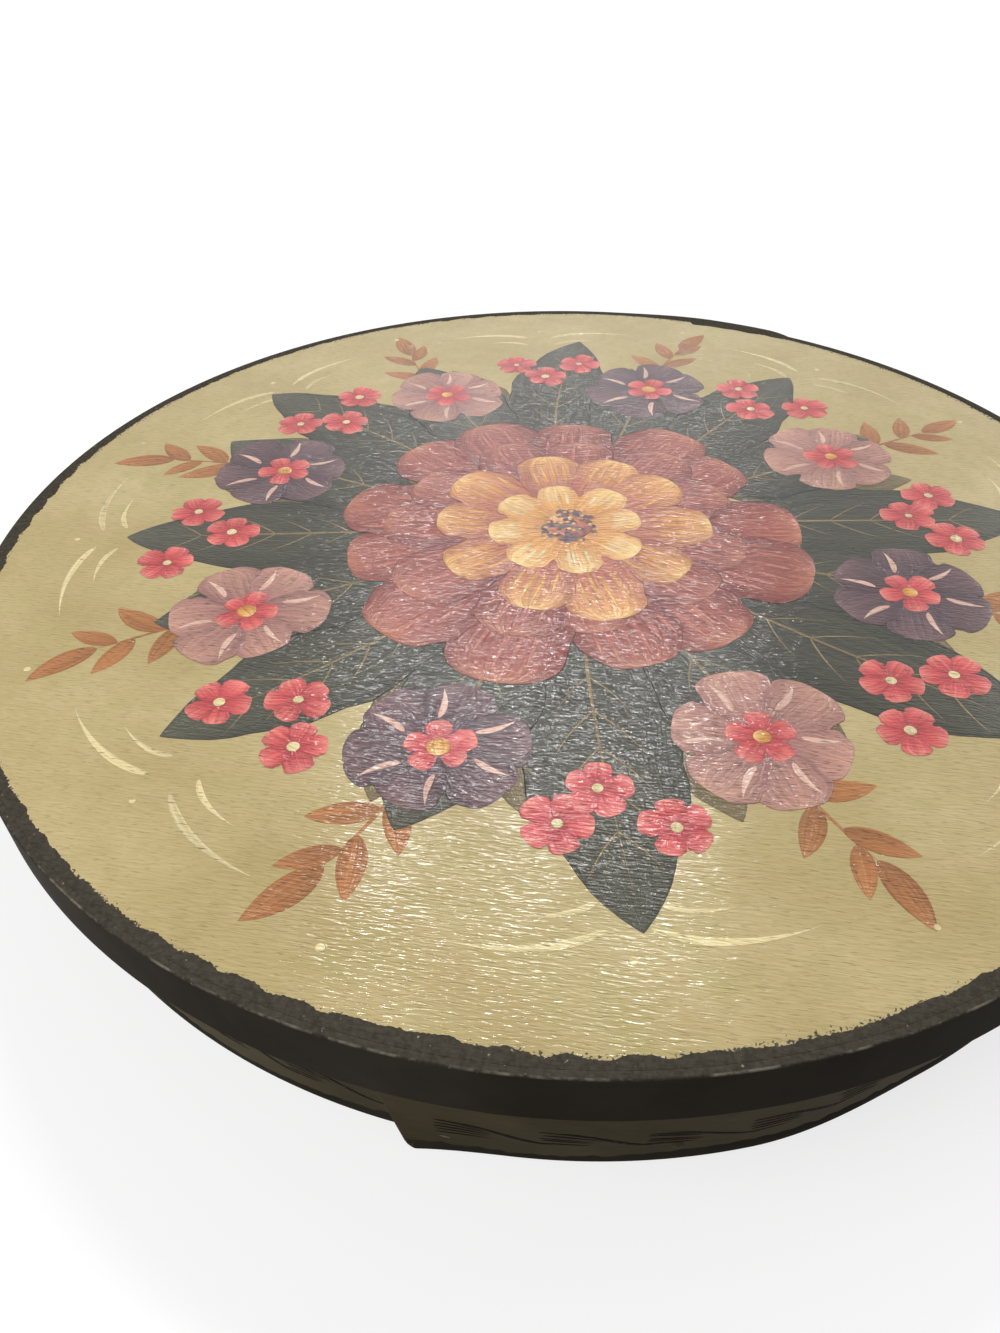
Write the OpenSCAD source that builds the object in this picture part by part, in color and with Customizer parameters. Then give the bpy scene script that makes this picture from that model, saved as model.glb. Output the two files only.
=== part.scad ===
// Round bentwood cheese box: a shallow body and a lift-off cap lid.
// Each half is a round panel set in a hoop bent from one strip of wood.
// The strip's thinned outer end laps over its inner end and is tacked there,
// and headed pins driven through the hoop hold the panel by its edge.
// Millimetres, +Z up, origin at the centre of the underside.

/* [Box] */
// Inside diameter of the body, which takes the cheese wheel
inside_d = 370; // [260:1:440]
// Inside height, from the base panel to the lid panel
inside_h = 41; // [30:1:70]
// Thickness of the base panel
base_t = 5; // [4:0.5:9]
// Thickness of the lid panel
lid_t = 5; // [4:0.5:9]

/* [Hoops] */
// Thickness of the strip that is bent into the wall
wall_t = 2.8; // [2:0.1:4]
// Thickness of the strip that is bent into the lid's rim
rim_t = 2.8; // [2:0.1:4]
// Height of the lid's rim
rim_h = 18.5; // [14:0.5:28]
// Width of the bevel that eases the long edges of a strip
strip_bevel = 0.5; // [0.2:0.1:0.8]
// Width of the bevel that eases a panel's outer edge
panel_bevel = 0.4; // [0.2:0.1:1]
// Play between the tack heads on the wall and the inside of the rim
lid_play = 1.5; // [0.3:0.1:3]
// Glue line between a panel and the hoop round it
glue_gap = 0.05; // [0.03:0.01:0.2]

/* [Laps] */
// Length of the wall strip's outer end that lies flat on the strip below
wall_lap = 80; // [50:1:100]
// Length of the rim strip's outer end that lies flat on the strip below
rim_lap = 38; // [30:1:80]
// Thickness of an outer end, which is thinned a little before bending
lap_t = 2.6; // [1:0.1:3]
// Length over which an outer end climbs onto the strip below
lap_ramp = 48; // [40:1:70]
// Lean of a cut end from upright, in degrees
lap_slant = 15; // [0:1:30]
// Direction of the wall's cut end, in degrees from +X
wall_lap_at = -101.5; // [-180:0.5:180]
// Direction of the rim's cut end, in degrees from +X
rim_lap_at = 60; // [-180:0.5:180]

/* [Tacks and pins] */
// Shank diameter of a lap tack
tack_d = 1.4; // [1:0.1:2]
// Head diameter of a lap tack
tack_head_d = 3; // [2.4:0.1:5]
// Height of a tack's domed head
tack_head_h = 0.5; // [0.3:0.1:0.9]
// Distance of a lap's outer tacks from its cut end
tack_inset = 12; // [9:0.5:14]
// Rows of tacks up the wall's lap
wall_tack_rows = 3; // [2:1:4]
// Rows of tacks up the rim's lap
rim_tack_rows = 2; // [2:1:3]
// Pins round each panel
pin_count = 12; // [8:1:24]
// Shank diameter of a pin
pin_d = 1.4; // [1:0.1:1.8]
// Length of a pin, head included
pin_len = 14; // [10:0.5:20]
// Head diameter of a pin
pin_head_d = 2.4; // [2:0.1:3]
// Thickness of a pin's head
pin_head_h = 0.8; // [0.5:0.1:1.2]
// Room round a shank or head in its hole
hole_gap = 0.03; // [0.02:0.01:0.1]

/* [Hidden] */
$fn = 180;

// Radii, from the inside of the body outwards
wall_inner_r = inside_d / 2;
wall_outer_r = wall_inner_r + wall_t;
rim_inner_r = wall_outer_r + lap_t + tack_head_h + lid_play;
rim_outer_r = rim_inner_r + rim_t;
base_r = wall_inner_r - glue_gap;
lid_r = rim_inner_r - glue_gap;

// Heights, from the underside upwards
wall_h = base_t + inside_h;
box_h = wall_h + lid_t;
rim_z = box_h - rim_h;
base_pin_z = base_t / 2;
lid_pin_z = box_h - lid_t / 2;

// How far below the strip a ramp's curve starts, so that the two cross at an angle
ramp_dip = 0.05;
// Clear arc kept between a lap and the pins next to it
pin_clear = 12;
// Depth to which a pin's head is set below the surface
pin_set = 0.05;
// Room past a solid for a cut to run out
cut_over = 1;
// Size of the blocks that trim a lap
trim = 2 * rim_outer_r;

// Angle that an arc of the given length spans at the given radius
function arc_deg(len, r) = len / r * 180 / PI;
// Angle from a lap's cut end, at mid height, to where its ramp has sunk into the strip of radius r
function lap_deg(r, len) = arc_deg(len + lap_ramp, r);
// Direction of pin i, on the arc that the lap leaves free
function pin_at(i, r, len, lap_at) =
    let (guard = arc_deg(pin_clear, r), first = lap_at + lap_deg(r, len) + guard)
    first + i * (360 - lap_deg(r, len) - 2 * guard) / (pin_count - 1);

// Cross-section of a strip on edge: a slim upright with its corners bevelled
module strip_section(r_in, r_out, h) {
    e = strip_bevel;
    polygon([
        [r_in + e, 0], [r_out - e, 0], [r_out, e], [r_out, h - e],
        [r_out - e, h], [r_in + e, h], [r_in, h - e], [r_in, e]
    ]);
}

// Plan of a lap with its cut end along +X: the far end sinks into the strip of radius r in an easy curve
module lap_plan(r, len) {
    far_deg = lap_deg(r, len);
    // A flatter circle: ramp_dip below the strip at the far end, lap_t above it where the flat part starts
    rise = (lap_t + ramp_dip) / (1 - cos(arc_deg(lap_ramp, r)));
    swell = rise * r / (r - rise);
    intersection() {
        rotate(far_deg) translate([-swell, 0]) circle(r = r - ramp_dip + swell);
        rotate(far_deg / 2) polygon([[0, 0], trim * [1, -tan(far_deg)], trim * [1, tan(far_deg / 2)]]);
    }
}

// The outer end of a strip of thickness t, lying on the strip below it and cut off at a slant
module lap(r, t, h, len) {
    difference() {
        intersection() {
            rotate_extrude() strip_section(r - t / 2, r + lap_t, h);
            translate([0, 0, -cut_over]) linear_extrude(h + 2 * cut_over) lap_plan(r, len);
        }
        translate([0, 0, h / 2]) rotate([lap_slant, 0, 0]) translate([0, -trim, -trim])
            cube([trim, trim, 2 * trim]);
    }
}

// A hoop bent from one strip, standing on z = 0
module hoop(r_in, t, h, len, lap_at) {
    rotate_extrude() strip_section(r_in, r_in + t, h);
    rotate(lap_at) lap(r_in + t, t, h, len);
}

// Places its children on every tack of a lap, evenly up its height, with +X outwards along the tack
module at_tacks(r, h, rows, len, lap_at) {
    for (along = [tack_inset, len - tack_inset], i = [0 : rows - 1])
        rotate(lap_at + arc_deg(along, r)) translate([r + lap_t, 0, h * (i + 0.5) / rows]) children();
}

// Places its children on every pin of a panel, with +X outwards along the pin
module at_pins(r, z, len, lap_at) {
    for (i = [0 : pin_count - 1])
        rotate(pin_at(i, r, len, lap_at)) translate([r - pin_set, 0, z]) children();
}

// A tack: a low dome on a straight shank that ends flush with the inside of a hoop of thickness t
module tack(t) {
    dome_r = (pow(tack_head_d / 2, 2) + pow(tack_head_h, 2)) / (2 * tack_head_h);
    rotate([0, 90, 0]) {
        translate([0, 0, -t - lap_t]) cylinder(d = tack_d, h = t + lap_t + tack_head_h / 2);
        intersection() {
            translate([0, 0, tack_head_h - dome_r]) sphere(r = dome_r);
            cylinder(d = tack_head_d + cut_over, h = tack_head_h + cut_over);
        }
    }
}

// The hole that a tack's shank fills
module tack_hole(t) {
    rotate([0, 90, 0]) translate([0, 0, -t - lap_t - cut_over])
        cylinder(d = tack_d + 2 * hole_gap, h = t + lap_t + 2 * cut_over);
}

// A pin: a flat head, set flush, and a round shank, each wider by grow where it is a hole
module pin(grow = 0, open = 0) {
    rotate([0, -90, 0]) {
        translate([0, 0, -open]) cylinder(d = pin_head_d + 2 * grow, h = pin_head_h + grow + open);
        cylinder(d = pin_d + 2 * grow, h = pin_len + grow);
    }
}

// A round panel standing on z = 0, with the bevelled show face up
module panel(r, t) {
    e = panel_bevel;
    rotate_extrude() polygon([[0, 0], [r, 0], [r, t - e], [r - e, t], [0, t]]);
}

module base_panel() {
    color("burlywood") difference() {
        translate([0, 0, base_t]) mirror([0, 0, 1]) panel(base_r, base_t);
        at_pins(wall_outer_r, base_pin_z, wall_lap, wall_lap_at) pin(hole_gap, cut_over);
    }
}

module wall_band() {
    color("darkkhaki") difference() {
        hoop(wall_inner_r, wall_t, wall_h, wall_lap, wall_lap_at);
        at_pins(wall_outer_r, base_pin_z, wall_lap, wall_lap_at) pin(hole_gap, cut_over);
        at_tacks(wall_outer_r, wall_h, wall_tack_rows, wall_lap, wall_lap_at) tack_hole(wall_t);
    }
}

module wall_lap_tacks() {
    color("dimgray") at_tacks(wall_outer_r, wall_h, wall_tack_rows, wall_lap, wall_lap_at) tack(wall_t);
}

module base_pins() {
    color("silver") at_pins(wall_outer_r, base_pin_z, wall_lap, wall_lap_at) pin();
}

module lid_panel() {
    color("tan") difference() {
        translate([0, 0, wall_h]) panel(lid_r, lid_t);
        at_pins(rim_outer_r, lid_pin_z, rim_lap, rim_lap_at) pin(hole_gap, cut_over);
    }
}

module rim_band() {
    color([0.16, 0.15, 0.14]) difference() {
        translate([0, 0, rim_z]) hoop(rim_inner_r, rim_t, rim_h, rim_lap, rim_lap_at);
        at_pins(rim_outer_r, lid_pin_z, rim_lap, rim_lap_at) pin(hole_gap, cut_over);
        translate([0, 0, rim_z])
            at_tacks(rim_outer_r, rim_h, rim_tack_rows, rim_lap, rim_lap_at) tack_hole(rim_t);
    }
}

module rim_lap_tacks() {
    color("dimgray") translate([0, 0, rim_z])
        at_tacks(rim_outer_r, rim_h, rim_tack_rows, rim_lap, rim_lap_at) tack(rim_t);
}

module lid_pins() {
    color("silver") at_pins(rim_outer_r, lid_pin_z, rim_lap, rim_lap_at) pin();
}

base_panel();
wall_band();
wall_lap_tacks();
base_pins();
lid_panel();
rim_band();
rim_lap_tacks();
lid_pins();
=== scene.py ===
import math

import bpy
import numpy as np
from mathutils import Matrix, Vector


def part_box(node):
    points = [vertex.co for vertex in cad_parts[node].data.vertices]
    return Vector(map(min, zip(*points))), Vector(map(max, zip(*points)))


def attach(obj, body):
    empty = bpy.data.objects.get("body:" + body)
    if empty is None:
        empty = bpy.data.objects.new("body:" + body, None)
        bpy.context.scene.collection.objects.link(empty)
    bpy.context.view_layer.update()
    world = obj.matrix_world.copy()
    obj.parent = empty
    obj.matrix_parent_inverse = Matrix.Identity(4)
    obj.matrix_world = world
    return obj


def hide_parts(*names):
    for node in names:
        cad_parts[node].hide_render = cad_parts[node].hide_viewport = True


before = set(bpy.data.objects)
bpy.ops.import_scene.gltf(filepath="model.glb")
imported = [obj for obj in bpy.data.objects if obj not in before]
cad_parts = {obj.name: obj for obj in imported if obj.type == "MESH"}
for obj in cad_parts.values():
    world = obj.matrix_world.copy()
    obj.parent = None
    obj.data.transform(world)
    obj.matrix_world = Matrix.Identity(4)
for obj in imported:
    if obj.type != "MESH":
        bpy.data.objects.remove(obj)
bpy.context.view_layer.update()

MM = 0.001
TURN = 2 * math.pi

# The box's own sizes, read from the frame
LID_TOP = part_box("lid_panel")[1].z
PANEL_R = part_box("lid_panel")[1].x
RIM_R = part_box("rim_band")[1].x
RIM_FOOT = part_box("rim_band")[0].z
WALL_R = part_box("wall_band")[1].x
WALL_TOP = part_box("wall_band")[1].z
WALL_ROUND = TURN * WALL_R

# The bent strips: thickness, eased edges, and the laps of their outer ends
STRIP_T = 2.8 * MM
STRIP_EASE = 0.55 * MM
LAP_T = 2.6 * MM
LAP_CLIMB = 48 * MM
LAP_LEAN = math.tan(math.radians(15))
LAP_CORNER = 3 * MM
CORNER_RUN = 4 * LAP_CORNER
SPRING_RUN = 24 * MM
# Where each lap's cut end lies, how long the lap is, how far its end is eased, how far its corner springs out
WALL_LAP = (math.radians(-101.5), 80 * MM, 0.5 * MM, 2.1 * MM)
RIM_LAP = (math.radians(60), 38 * MM, 12 * MM, 0.0)
# How closely a hoop is divided: steps all round, and close steps on both sides of the cut end
HOOP_STEPS = 900
PAST_CUT = np.array([0, 0.004, 0.05, 0.12, 0.25, 0.4, 0.5, 0.8, 1.6]) * MM
BEFORE_CUT = np.array([0.3, 0.01]) * MM

# Section of a film of paint, from one edge over the top to the other edge and back below: across and height
LENS_ACROSS = np.array([1, 0.985, 0.75, 0.35, 0, -0.35, -0.75, -0.985, -1, -0.985, 0, 0.985])
LENS_HEIGHT = np.array([0, 0.6, 0.85, 0.97, 1, 0.97, 0.85, 0.6, 0, -0.3, -0.4, -0.3])
# How high each layer of paint on the lid lies over the last, and how thick strokes and dabs of paint are
LAYER = 0.008 * MM
LID_FILM = 0.01 * MM
DAB_FILM = 0.03 * MM
WALL_FILM = 0.03 * MM

# Tapers of brush strokes: the powers by which their width grows from the start and falls towards the end
ROUND_PETAL = (0.75, 0.35)
POINTED_LEAF = (0.75, 0.85)
RIB = (0.4, 1.2)
SIDE_VEIN = (0.4, 1.4)
STEM = (0.3, 0.6)
SPRIG_LEAF = (0.7, 0.9)
TOUCH = (0.6, 1.2)
COMMA = (0.5, 1.3)
DAB = (0.5, 0.5)
SHEAF = (0.5, 0.9)
SWEEP = (1.1, 0.7)
RUB = (0.5, 0.6)

# The photograph's camera, fitted to the lid's outline: lengths in lid radii, angles in degrees
PHOTO_PX = (1000, 1333)
FOCAL_PX = 960
CAMERA_AWAY = 1.7270
CAMERA_RISE = 33.014
CAMERA_YAW = -3.774
CAMERA_PITCH = 8.434
CAMERA_ROLL = 1.758

# Seeded source of the borders' hand-made unevenness; the rosette has a source of its own
rng = np.random.default_rng(9)


def linear(hex_code):
    """Turns an sRGB hex colour into the linear RGBA that sockets take."""
    srgb = np.array([int(hex_code[i:i + 2], 16) for i in (1, 3, 5)]) / 255
    rgb = np.where(srgb <= 0.04045, srgb / 12.92, ((srgb + 0.055) / 1.055) ** 2.4)
    return (*rgb, 1.0)


def add(tree, kind, sockets=(), output=0, stops=(), **settings):
    """Adds a node and returns one of its outputs.

    sockets are its inputs, in order, by name or by number: links, values or hex colours. stops are the places
    and colours of a colour ramp, and settings are the node's own options. In order, a map range takes a
    value, the low and high end of what it comes from, and the low and high end of what it becomes. By number,
    a mix takes its amount at 0 and its colours at 6 and 7, and gives the blend as output 2.
    """
    node = tree.nodes.new("ShaderNode" + kind)
    for key, value in settings.items():
        setattr(node, key, value)
    elements = node.color_ramp.elements if stops else ()
    while len(elements) < len(stops):
        elements.new(0.5)
    for element, (place, colour) in zip(elements, stops):
        element.position = place
        element.color = linear(colour)
    for key, value in sockets.items() if isinstance(sockets, dict) else enumerate(sockets):
        if isinstance(value, bpy.types.NodeSocket):
            tree.links.new(value, node.inputs[key])
        else:
            node.inputs[key].default_value = linear(value) if isinstance(value, str) else value
    return node.outputs[output] if node.outputs else None


def new_material(name):
    """Starts an empty node material and returns it with its tree."""
    material = bpy.data.materials.new(name)
    material.use_nodes = True
    material.node_tree.nodes.clear()
    return material, material.node_tree


def close_material(tree, sockets):
    """Ends a material with one principled surface."""
    add(tree, "OutputMaterial", {"Surface": add(tree, "BsdfPrincipled", sockets)})


# Meshes from arrays

def ring_faces(rows, cols):
    """Quads of a grid closed both ways, with the unwrapped row and column of each corner."""
    i, j = (a.ravel() for a in np.meshgrid(np.arange(rows), np.arange(cols), indexing="ij"))
    row = np.stack([i, i + 1, i + 1, i], 1)
    col = np.stack([j, j, j + 1, j + 1], 1)
    return (row % rows) * cols + col % cols, row, col


def signed_volume(points, faces):
    """Volume inside a closed surface: the sum over a fan of triangles of a . (b x c) / 6."""
    total = 0.0
    for f in faces:
        for k in range(1, f.shape[1] - 1):
            a, b, c = points[f[:, 0]], points[f[:, k]], points[f[:, k + 1]]
            total += np.einsum("ij,ij->", a, np.cross(b, c)) / 6
    return total


def add_piece(name, body, slot, materials, points, faces, uvs, shade,
              brush=None, face_material=0, flat=False):
    """Makes one mesh object from point, face and corner UV arrays, facing outwards and riding a body.

    shade is one number and brush one vector for each point, which the materials read; faces are smooth but
    for those marked flat.
    """
    if signed_volume(points, faces) < 0:
        faces = [f[:, ::-1] for f in faces]
        uvs = [uv[:, ::-1] for uv in uvs]
    corners = np.concatenate([f.ravel() for f in faces])
    sizes = np.concatenate([np.full(len(f), f.shape[1]) for f in faces])
    mesh = bpy.data.meshes.new(name)
    mesh.vertices.add(len(points))
    mesh.vertices.foreach_set("co", points.astype(np.float32).ravel())
    mesh.loops.add(len(corners))
    mesh.loops.foreach_set("vertex_index", corners.astype(np.int32))
    mesh.polygons.add(len(sizes))
    mesh.polygons.foreach_set("loop_start", (np.cumsum(sizes) - sizes).astype(np.int32))
    mesh.polygons.foreach_set("use_smooth", np.full(len(sizes), True) & np.logical_not(flat))
    layer = mesh.uv_layers.new(name="UVMap")
    layer.uv.foreach_set("vector", np.concatenate([uv.ravel() for uv in uvs]).astype(np.float32))
    mesh.attributes.new("shade", "FLOAT", "POINT").data.foreach_set("value", shade.astype(np.float32))
    if brush is not None:
        strokes = mesh.attributes.new("brush", "FLOAT_VECTOR", "POINT")
        strokes.data.foreach_set("vector", brush.astype(np.float32).ravel())
    for material in materials:
        mesh.materials.append(material)
    mesh.polygons.foreach_set("material_index", np.broadcast_to(face_material, len(sizes)).astype(np.int32))
    mesh.update(calc_edges=True)
    piece = bpy.data.objects.new(name, mesh)
    bpy.context.scene.collection.objects.link(piece)
    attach(piece, body)
    return piece


def upright(radius, turn, z):
    """Points at a radius and turn round the box's upright axis, and at height z."""
    return np.stack(np.broadcast_arrays(radius * np.cos(turn), radius * np.sin(turn), z), -1)


def polar(radius, turn):
    """Points in the plane at a radius and turn round the lid's centre."""
    radius, turn = np.broadcast_arrays(radius, turn)
    return np.stack([radius * np.cos(turn), radius * np.sin(turn)], 1)


def wander(angles, waves, count, size):
    """Hand-made unevenness round a circle: a sum of sines of random phases and whole numbers of waves."""
    freq = rng.integers(*waves, count)
    phase = rng.uniform(0, TURN, count)
    return size * np.sin(np.outer(angles, freq) + phase).sum(1) / math.sqrt(count / 2)


def underside(heights):
    """Which faces round a section lie below: those that reach under the surface that carries it."""
    return np.minimum(heights, np.roll(heights, -1)) < 0


# The bent hoops

def lap_swell(s, up, length, ease, spring):
    """How far a strip stands out at arc length s past its cut end: a rounded rise, flat, then an S down.

    Its free corner springs out further, falling off as a square along the strip and evenly up to the rim.
    """
    rise = np.clip(s / ease, 0, 1)
    fall = np.clip((s - length) / LAP_CLIMB, 0, 1)
    loose = spring * np.clip(1 - s / SPRING_RUN, 0, 1) ** 2 * np.clip(1 - up / RIM_FOOT, 0, 1)
    return rise * (2 - rise) * (LAP_T * (1 - fall * fall * (3 - 2 * fall)) + loose)


def corner_cut(up):
    """How far the cut end falls back near the foot, where its corner is rounded by a quarter circle."""
    below = np.clip(LAP_CORNER - up, 0, LAP_CORNER)
    return LAP_CORNER - np.sqrt(LAP_CORNER ** 2 - below ** 2)


def strip_section(height):
    """Upright section of a strip as (outwards, up): four corner arcs joined by straight sides.

    Each side has points at shares of its length that hold it straight beside the arcs.
    """
    quarter = np.linspace(0, math.pi / 2, 5)
    arc = STRIP_EASE * np.stack([np.cos(quarter), np.sin(quarter)], 1)
    shares = np.array([0.015, 0.03, 0.06, 0.2, 0.5, 0.8, 0.97])[:, None]
    arcs = [arc @ np.array([[c, s], [-s, c]]) for c, s in ((1, 0), (0, 1), (-1, 0), (0, -1))]
    far_out, high = STRIP_T - STRIP_EASE, height - STRIP_EASE
    centres = ((far_out, high), (STRIP_EASE, high), (STRIP_EASE, STRIP_EASE), (far_out, STRIP_EASE))
    corners = [a + c for a, c in zip(arcs, centres)]
    loop = []
    for corner, following in zip(corners, corners[1:] + corners[:1]):
        loop += [corner, corner[-1] + shares * (following[0] - corner[-1])]
    return np.concatenate(loop)


def hoop(name, body, slot, outside, inside, outer_r, foot, height, lap):
    """A bent hoop: the strip's section carried round a circle, its outer half pushed out by the lap's swell.

    The columns lean with the cut end, so the step at the end of the lap is a clean slanting line. Its shade
    is 1 along the outer corners, where paint wears and where the black rim also gets a painted highlight,
    and 0 elsewhere.
    """
    lap_at, *shape = lap
    section = strip_section(height)
    out, up = section.T
    around = TURN * outer_r
    evenly = np.linspace(0, around, HOOP_STEPS)[:-1]
    s = np.unique(np.concatenate([PAST_CUT, evenly, around - BEFORE_CUT]))
    outer_half = out > STRIP_T / 2
    radius = outer_r - STRIP_T + out + outer_half * lap_swell(s[:, None], up, *shape)
    back = corner_cut(up) * np.clip(1 - s[:, None] / CORNER_RUN, 0, 1)
    turn = lap_at + (s[:, None] + back - LAP_LEAN * (up - height / 2)) / outer_r
    points = upright(radius, turn, foot + up)
    quads, row, col = ring_faces(len(s), len(section))
    uv = np.stack([np.append(s, around)[row], np.append(up, up[0])[col]], 2)
    inner_face = np.append(out, out[0])[col].max(1) < 0.01 * STRIP_T
    from_corner = STRIP_T - out + np.minimum(up, height - up)
    worn = np.clip((STRIP_EASE - from_corner) / (0.4 * STRIP_EASE), 0, 1)
    return add_piece(name, body, slot, (outside, inside), points.reshape(-1, 3), [quads], [uv],
                     np.tile(worn, len(s)), face_material=inner_face)


# Brush strokes as thin films of paint

def film_faces(count, steps):
    """Faces of count films of so many steps: quads from section to section, and triangles at each end.

    A film's points are its sections one after another, then its first and its last point. Returns the quads,
    the triangles, and which of all these faces lie below.
    """
    ring = len(LENS_ACROSS)
    inner = (steps - 2) * ring
    quads = ring_faces(steps - 2, ring)[0][:-ring]
    j = np.arange(ring)
    k = (j + 1) % ring
    first = np.stack([j, k, np.full(ring, inner)], 1)
    last = np.stack([k + inner - ring, j + inner - ring, np.full(ring, inner + 1)], 1)
    start = (np.arange(count) * (inner + 2))[:, None, None]
    triangles = np.concatenate([first, last])
    below = np.tile(underside(LENS_HEIGHT), count * (steps - 1))
    return (quads + start).reshape(-1, 4), (triangles + start).reshape(-1, 3), below


def stroke_films(path, half_width, lift, thick, tilt=0.0):
    """Closed films of paint: a flat lens section carried along each path, shrinking to a point at both ends.

    path is (strokes, steps, 2) on the surface, half_width (strokes, steps), lift the height of the strokes'
    edges, thick that of their middle above it, and tilt raises one side. Returns points on the surface,
    heights above it, and what a piece needs besides: faces, UVs (along, across), a random shade and the real
    length and width of each stroke, and which faces are its underside.
    """
    count, steps, _ = path.shape
    ahead = np.gradient(path, axis=1)
    ahead /= np.linalg.norm(ahead, axis=2, keepdims=True) + 1e-12
    across = np.stack([-ahead[..., 1], ahead[..., 0]], 2)
    aside = half_width[:, 1:-1, None] * LENS_ACROSS
    sections = path[:, 1:-1, None] + across[:, 1:-1, None] * aside[..., None]
    fullness = np.sqrt(half_width / half_width.max(1, keepdims=True))[:, 1:-1, None]
    heights = lift + thick * fullness * LENS_HEIGHT + tilt * LENS_ACROSS
    plane = np.concatenate([sections.reshape(count, -1, 2), path[:, :1], path[:, -1:]], 1)
    heights = np.concatenate([heights.reshape(count, -1), np.full((count, 2), lift)], 1)
    quads, triangles, below = film_faces(count, steps)
    along = np.linspace(0, 1, steps)[1:-1]
    uv = np.stack(np.meshgrid(along, (LENS_ACROSS + 1) / 2, indexing="ij"), 2).reshape(-1, 2)
    uv = np.tile(np.concatenate([uv, [[0, 0.5], [1, 0.5]]]), (count, 1))
    each = plane.shape[1]
    shade = np.repeat(rng.uniform(0, 1, count), each)
    run = np.linalg.norm(np.diff(path, axis=1), axis=2).sum(1)
    brush = np.repeat(np.stack([run, 2 * half_width.max(1), np.zeros(count)], 1), each, 0)
    rest = {"faces": [quads, triangles], "uvs": [uv[quads], uv[triangles]], "shade": shade, "brush": brush,
            "flat": below}
    return plane.reshape(-1, 2), heights.ravel(), rest


def eased(steps):
    """Fractions from 0 to 1 along a stroke, closer together at both ends: (1 - cosine) / 2."""
    return (1 - np.cos(np.linspace(0, math.pi, steps))) / 2


def swelling(u, taper):
    """Half-width at fractions u of a stroke, from 0 to 1 to 0: u^start (1-u)^end over its largest value."""
    start, end = taper
    top = start / (start + end)
    return (u ** start * (1 - u) ** end) / (top ** start * (1 - top) ** end)


def spine(place, turn, length, bend, u):
    """Points at fractions u along spines: length times u towards turn, and bend length u^2 sideways."""
    turn, length, bend = (np.broadcast_to(a, len(place))[:, None] for a in (turn, length, bend))
    ahead, aside = length * u, bend * length * u * u
    x = place[:, :1] + ahead * np.cos(turn) - aside * np.sin(turn)
    y = place[:, 1:] + ahead * np.sin(turn) + aside * np.cos(turn)
    return np.stack([x, y], 2)


def petals(place, turn, length, width, taper, bend=0.0, steps=23, ruffle=0.0):
    """Spines and half-widths of petals, leaves or strokes.

    The half-width is width times the taper's swelling, times 1 plus ruffle times a sine of 2 to 5 waves.
    """
    u = eased(steps)
    waves = rng.uniform(2, 5, (len(place), 1)) * TURN * u + rng.uniform(0, TURN, (len(place), 1))
    width = np.broadcast_to(width, len(place))[:, None]
    return spine(place, turn, length, bend, u), width * swelling(u, taper) * (1 + ruffle * np.sin(waves))


def paint_on_lid(name, material, strokes, layer, tilt=0.0, thick=LID_FILM):
    """Lays strokes, their spines and half-widths, on the lid's top; layer and tilt are in layers of paint."""
    plane, height, rest = stroke_films(*strokes, layer * LAYER, thick, tilt * LAYER)
    points = np.column_stack([plane, LID_TOP + height])
    add_piece(name, "lid", "painted_lid", (material,), points, **rest)


# Materials

def per_mm(*lengths):
    """Scale that makes a pattern of 1 mm so many millimetres long, wide and deep."""
    return tuple(1 / length for length in lengths)


# Length, width and depth of the grain in a bare board, and along and across a bare strip
BOARD_GRAIN = per_mm(14, 0.9, 14)
STRIP_GRAIN = per_mm(16, 0.9, 1)


def wood_relief(tree):
    """Grain of the board under its paint: level ridges 4.2 mm long and 0.75 mm wide, and pores 3.2 mm long.

    Returns the height of the surface, which is the ridges less a quarter of the pores, then the pores and the
    ridges, each 0 to 1. Both are drawn about twice as coarse as they are, so that they show in the render.
    """
    place = add(tree, "TexCoord", output="Object")
    level = add(tree, "Mapping", {"Vector": place, "Rotation": (0, 0, math.radians(5))})
    long = add(tree, "Mapping", {"Vector": level, "Scale": per_mm(4.2, 0.75, 4.2)})
    ridges = add(tree, "TexNoise", {"Vector": long, "Scale": 1 / MM, "Detail": 1.0, "Distortion": 0.3})
    short = add(tree, "Mapping", {"Vector": level, "Scale": per_mm(3.2, 0.5, 3.2)})
    dashes = add(tree, "TexNoise", {"Vector": short, "Scale": 1 / MM, "Detail": 1.0})
    pores = add(tree, "MapRange", (dashes, 0.58, 0.72))
    height = add(tree, "Math", (pores, -0.25, ridges), operation="MULTIPLY_ADD")
    return height, pores, ridges


def birch_grain(tree, coords, scale):
    """Bare birch: pale honey wood with fine darker grain, 14 mm long or so; returns grain and colour."""
    place = add(tree, "TexCoord", output=coords)
    long = add(tree, "Mapping", {"Vector": place, "Scale": scale})
    grain = add(tree, "TexNoise", {"Vector": long, "Scale": 1 / MM, "Detail": 4.0, "Distortion": 0.4})
    honey = ((0.3, "#b08a57"), (0.5, "#c9a673"), (0.7, "#d6b888"))
    return grain, add(tree, "ValToRGB", (grain,), stops=honey)


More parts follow.
